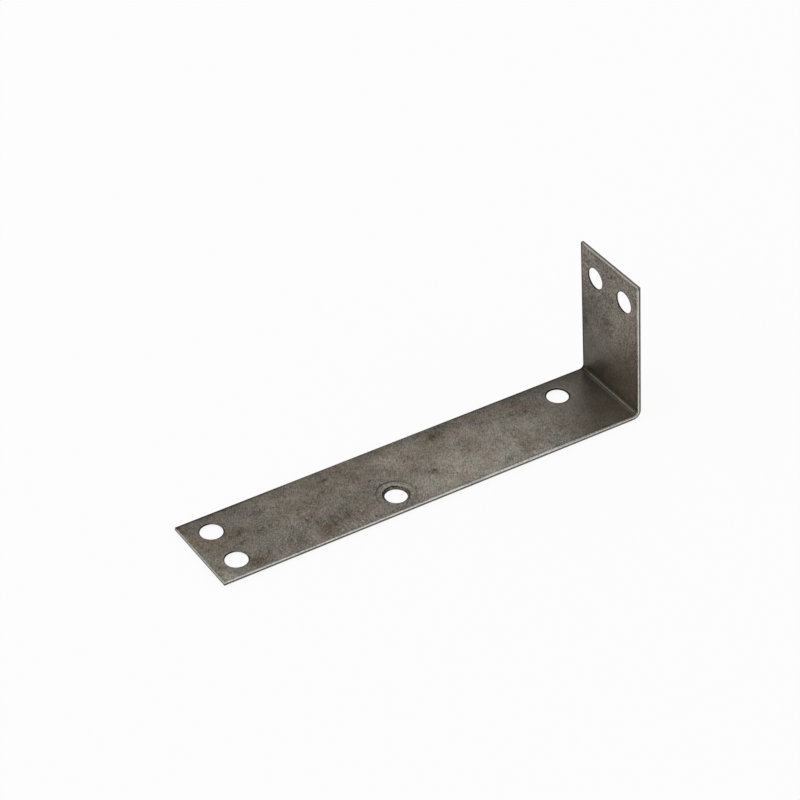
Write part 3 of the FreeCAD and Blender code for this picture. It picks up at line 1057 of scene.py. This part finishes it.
    def seat_marks(self, colour):
        """Dark rings in the pressed seat, heavier on its far side; a painted highlight on the far
        side of its floor, with rubbed spots elsewhere; painted shade at the rim of its mouth and a
        dark line along its lower edge; and its brown tapered mouth.
        """
        grease = self.finish.grease
        ring, mouth = self.seat_ring, self.seat_mouth
        away = self.axis + self.ragged
        far = self.towards(-0.3, -0.95).ramp(0, 0.8)
        spots = self.cloud(0.5, seed=24)

        side = self.towards(0.15, -0.99).ramp(0.5, 0.88)
        edge = away.band(ring - 0.15, 0.12, 0.25) * (side * 0.55 + 0.07)
        lines = away.band(ring - 0.05, 0.08, 0.2) * 0.3 + away.band(ring - 0.65, 0.04, 0.14) * 0.3
        lines = lines + away.band(mouth + 0.4, 0.04, 0.14) * 0.4
        edge = edge + lines * self.towards(-1, 0.3).ramp(0.4, 0.9)
        # Painted highlight on the far side of the seat's floor, with rubbed spots on its near side.
        rubbed = away.band(mouth + 1.1, 0.5, 0.4) * (0.07 + far * 0.24 + (1 - far) * spots * 0.5)
        rubbed = rubbed + away.band(mouth + 0.52, 0.12, 0.2) * far * 0.5
        colour = self.dulled(edge, self.scaled(colour, 1 + rubbed), grease)

        browned = self.scaled(self.finish.mouth, (spots * 0.9 + 1).math("MAXIMUM", 0.3))
        colour = self.mix(away.ramp(mouth + 0.02, mouth - 0.1), colour, browned)
        beside = self.towards(-0.65, 0.75).ramp(0.25, 0.75)
        beside = beside + self.towards(0.98, -0.2).ramp(0.7, 0.95)
        upper = self.towards(0.45, -0.9).ramp(0.1, 0.7)
        # Painted shade along the rim of the mouth, on some of its sides.
        painted_rim_shade = away.band(mouth + 0.07, 0.1, 0.1) * beside
        painted_rim_shade = painted_rim_shade + away.band(mouth - 0.08, 0.09, 0.08) * upper
        lower_rim = self.axis.ramp(self.seat_radius + 0.23, self.seat_radius + 0.07)
        lower_rim = lower_rim * (self.towards(-0.53, -0.85).ramp(0.85, 0.6) * 0.85 + 0.1)
        return self.dulled(painted_rim_shade + lower_rim, colour, grease)

    def seam(self):
        """Painted shade in the bottom of the fold, left off a thin line along its middle where the
        fold's own reflection shows.
        """
        line = abs(self.from_fold + 0.05).ramp(0.22, 0.07) * abs(self.across + 0.3).ramp(14, 13)
        bottom = abs(self.from_fold).ramp(1.9, 0.8) * 0.5
        margin = self.from_fold.band(0.45, 0.2, 0.2) * 0.3
        return (bottom + margin) * (1 - line) * self.inner

    def fold_grime(self):
        """Darkening around the fold, most of it on the far side: partly painted shade in the fold's
        crease and partly grease.
        """
        away = abs(self.from_fold)
        corner = self.across.ramp(-7, -14) * (self.height.ramp(16, 6) * self.short * 0.45 + 0.25)
        return (away.ramp(12, 1) * 0.12 + away.ramp(14, 6) * corner) * self.inner

    def walls(self):
        """Colour of a cut's wall: burnished above, torn and dull below, with a paler lower rim."""
        level = self.up + self.cloud(0.8, 2, seed=14) * 0.05
        land = level.ramp(0.66, 0.8) * (1 - self.free_end * 0.3 - self.top * 0.6)
        colour = self.mix(land, self.finish.torn_cut, self.finish.bright_cut)
        lowest = (level.ramp(0.2, 0.05) * (1 - self.top - self.free_end)).math("MAXIMUM", 0)
        light = self.sparkle(0.3, 0.15, 1) * 0.78 + self.short * 0.22 + lowest * 0.9
        return self.scaled(colour, light)

    def build(self):
        """The whole material: one metal for faces and walls, dark, dull and less metallic on the
        far edge's rounding as painted shade.
        """
        wall = self.outline.ramp(-0.12, -0.18)
        uneven = self.cloud(5, 2, seed=17) * 0.05 + self.cloud(0.5, seed=18) * 0.05
        rough = self.finish.gloss + uneven - wall * 0.1 - self.gleam * 0.3 + self.rounded * 0.4
        relief = self.cloud(0.5, 2, seed=19) + self.streaks(2.4, 0.3, 57, 6)
        bump = {"Height": relief, "Strength": 0.35, "Distance": 0.02 * MM}
        metal = self.node("BsdfPrincipled", sockets={
            "Base Color": self.mix(wall, self.faces(), self.walls()),
            "Metallic": 1 - self.rounded * 0.8, "Roughness": rough,
            "Normal": self.node("Bump", sockets=bump),
        })
        self.node("OutputMaterial", sockets={"Surface": metal})


class BRACKET_OT_sheet(bpy.types.Operator):
    """Build the folded sheet with its holes, seat and cut edges"""

    bl_idname = "bracket.sheet"
    bl_label = "Folded sheet"

    def execute(self, context):
        sheet = Sheet(context.scene.bracket_sizes)
        seat = Seat(sheet, "seat_hole")
        holes = [Hole(sheet, name) for name in PLAIN_HOLES] + [seat]
        bracket = new_object("folded_sheet", bracket_mesh(sheet, holes))
        material = bpy.data.materials.new(SLOT)
        Steel(material, sheet, seat, context.scene.bracket_finish).build()
        bracket.data.materials.append(material)
        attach(bracket, BODY)
        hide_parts(NODE)
        return {"FINISHED"}


def look_at(eye, target):
    """A matrix at eye whose -Z points to target and whose Y is up."""
    turn = (target - eye).to_track_quat("-Z", "Y")
    return Matrix.Translation(eye) @ turn.to_matrix().to_4x4()


def add_camera(studio):
    """The camera at the photo's angle, with its aim point in the middle of the picture."""
    away = Vector((
        math.cos(studio.elevation) * math.cos(studio.azimuth),
        math.cos(studio.elevation) * math.sin(studio.azimuth),
        math.sin(studio.elevation),
    ))
    aim = Vector(studio.aim)
    camera = bpy.data.cameras.new("camera")
    camera.lens = studio.lens
    camera.sensor_width = 36
    camera.clip_start = 0.01
    camera.clip_end = 100
    placed = new_object("camera", camera)
    placed.matrix_world = look_at(aim + away * studio.distance, aim)
    bpy.context.scene.camera = placed


def add_world(studio):
    """White surroundings: full strength to the camera and in reflections, softer as light."""
    world = bpy.data.worlds.new("white_surroundings")
    bpy.context.scene.world = world
    shader = Shader(world)
    strength = studio.ambient + (1 - studio.ambient) * shader.backdrop()
    white = shader.node("Background", sockets={"Color": (1, 1, 1), "Strength": strength})
    shader.node("OutputWorld", sockets={"Surface": white})


def add_floor(studio, height):
    """A wide white floor under the bracket, lifted towards full white where it is seen."""
    half, white_paint = 3, (0.93, 0.93, 0.93)
    mesh = bpy.data.meshes.new("floor")
    corners = [(-half, -half), (half, -half), (half, half), (-half, half)]
    mesh.from_pydata([(x, y, height) for x, y in corners], [], [(0, 1, 2, 3)])
    floor = new_object("floor", mesh)
    material = bpy.data.materials.new("floor_white")
    shader = Shader(material)
    matt = shader.node("BsdfDiffuse", sockets={"Color": white_paint})
    white = shader.node("Emission", sockets={"Color": (1, 1, 1), "Strength": 1})
    lift = studio.lift * shader.backdrop()
    surface = shader.node("MixShader", sockets={0: lift, 1: matt, 2: white})
    shader.node("OutputMaterial", sockets={"Surface": surface})
    mesh.materials.append(material)
    floor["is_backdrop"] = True


def add_key(studio):
    """One large soft lamp, high on the far side and turned to the middle of the long leg."""
    place, target = Vector((0.4, -0.5, 1.1)), Vector((0.07, 0, 0))
    lamp = bpy.data.lights.new("key", "AREA")
    lamp.shape = "SQUARE"
    lamp.size = 0.9
    lamp.energy = studio.key
    new_object("key", lamp).matrix_world = look_at(place, target)


class BRACKET_OT_stage(bpy.types.Operator):
    """Set up the camera, the white surroundings, the floor and the lamp"""

    bl_idname = "bracket.stage"
    bl_label = "Studio"

    def execute(self, context):
        studio = context.scene.bracket_studio
        add_camera(studio)
        add_world(studio)
        add_floor(studio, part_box(NODE)[0].z)
        add_key(studio)
        return {"FINISHED"}


class BRACKET_PT_panel(bpy.types.Panel):
    """Sidebar panel with the bracket's sizes, finish and studio"""

    bl_idname = "BRACKET_PT_panel"
    bl_label = "Angle Bracket"
    bl_space_type = "VIEW_3D"
    bl_region_type = "UI"
    bl_category = "Bracket"

    def draw(self, context):
        layout = self.layout
        for name, operator in (("bracket_sizes", BRACKET_OT_sheet), ("bracket_finish", None),
                               ("bracket_studio", BRACKET_OT_stage)):
            group = getattr(context.scene, name)
            for prop in group.bl_rna.properties:
                if prop.identifier not in ("rna_type", "name"):
                    layout.prop(group, prop.identifier)
            if operator:
                layout.operator(operator.bl_idname)


GROUPS = {
    "bracket_sizes": BracketSizes,
    "bracket_finish": BracketFinish,
    "bracket_studio": BracketStudio,
}
CLASSES = (*GROUPS.values(), BRACKET_OT_sheet, BRACKET_OT_stage, BRACKET_PT_panel)


def register():
    for cls in CLASSES:
        bpy.utils.register_class(cls)
    for name, group in GROUPS.items():
        setattr(bpy.types.Scene, name, PointerProperty(type=group))


def unregister():
    for name in GROUPS:
        delattr(bpy.types.Scene, name)
    for cls in reversed(CLASSES):
        bpy.utils.unregister_class(cls)


def main():
    register()
    bpy.context.scene.view_settings.view_transform = "Standard"
    bpy.ops.bracket.sheet()
    bpy.ops.bracket.stage()
    boxes = {"cad": cad_box, "visual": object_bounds()}
    {name: [list(corner) for corner in box] for name, box in boxes.items()}


if __name__ == "__main__":
    main()
